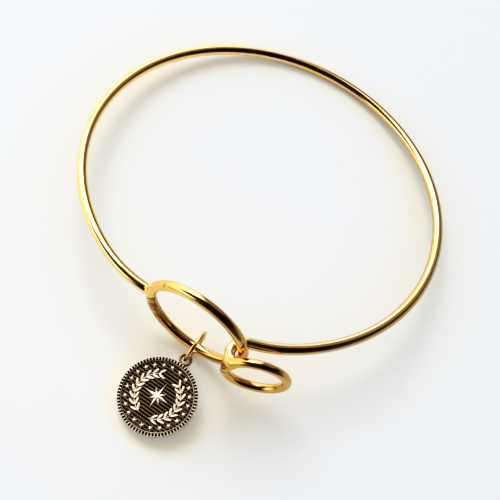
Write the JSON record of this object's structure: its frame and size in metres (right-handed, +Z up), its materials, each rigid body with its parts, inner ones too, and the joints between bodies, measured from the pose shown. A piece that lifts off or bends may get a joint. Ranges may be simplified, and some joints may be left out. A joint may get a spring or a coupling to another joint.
{
  "type": "charm bangle",
  "caption": "Round wire bangle that closes with a hook through a big soldered ring, with a small end ring and a coin medal on a jump ring.",
  "frame": {"origin": "on the surface that the bangle rests on, under the middle of the wire loop", "axes": "+X to the right, +Y from the clasp to the back of the loop, +Z up; the medal lies in front of the clasp, on the -Y side"},
  "size_m": [0.0648, 0.0794, 0.0195],
  "materials": {
    "polished_gold": "highly polished yellow gold plate",
    "antique_gold": "antiqued pale gold, dark in the recesses and bright on the raised parts"
  },
  "bodies": {
    "root": {"bangle": "polished_gold", "jump_ring": "antique_gold", "medal": "antique_gold"}
  },
  "joints": []
}
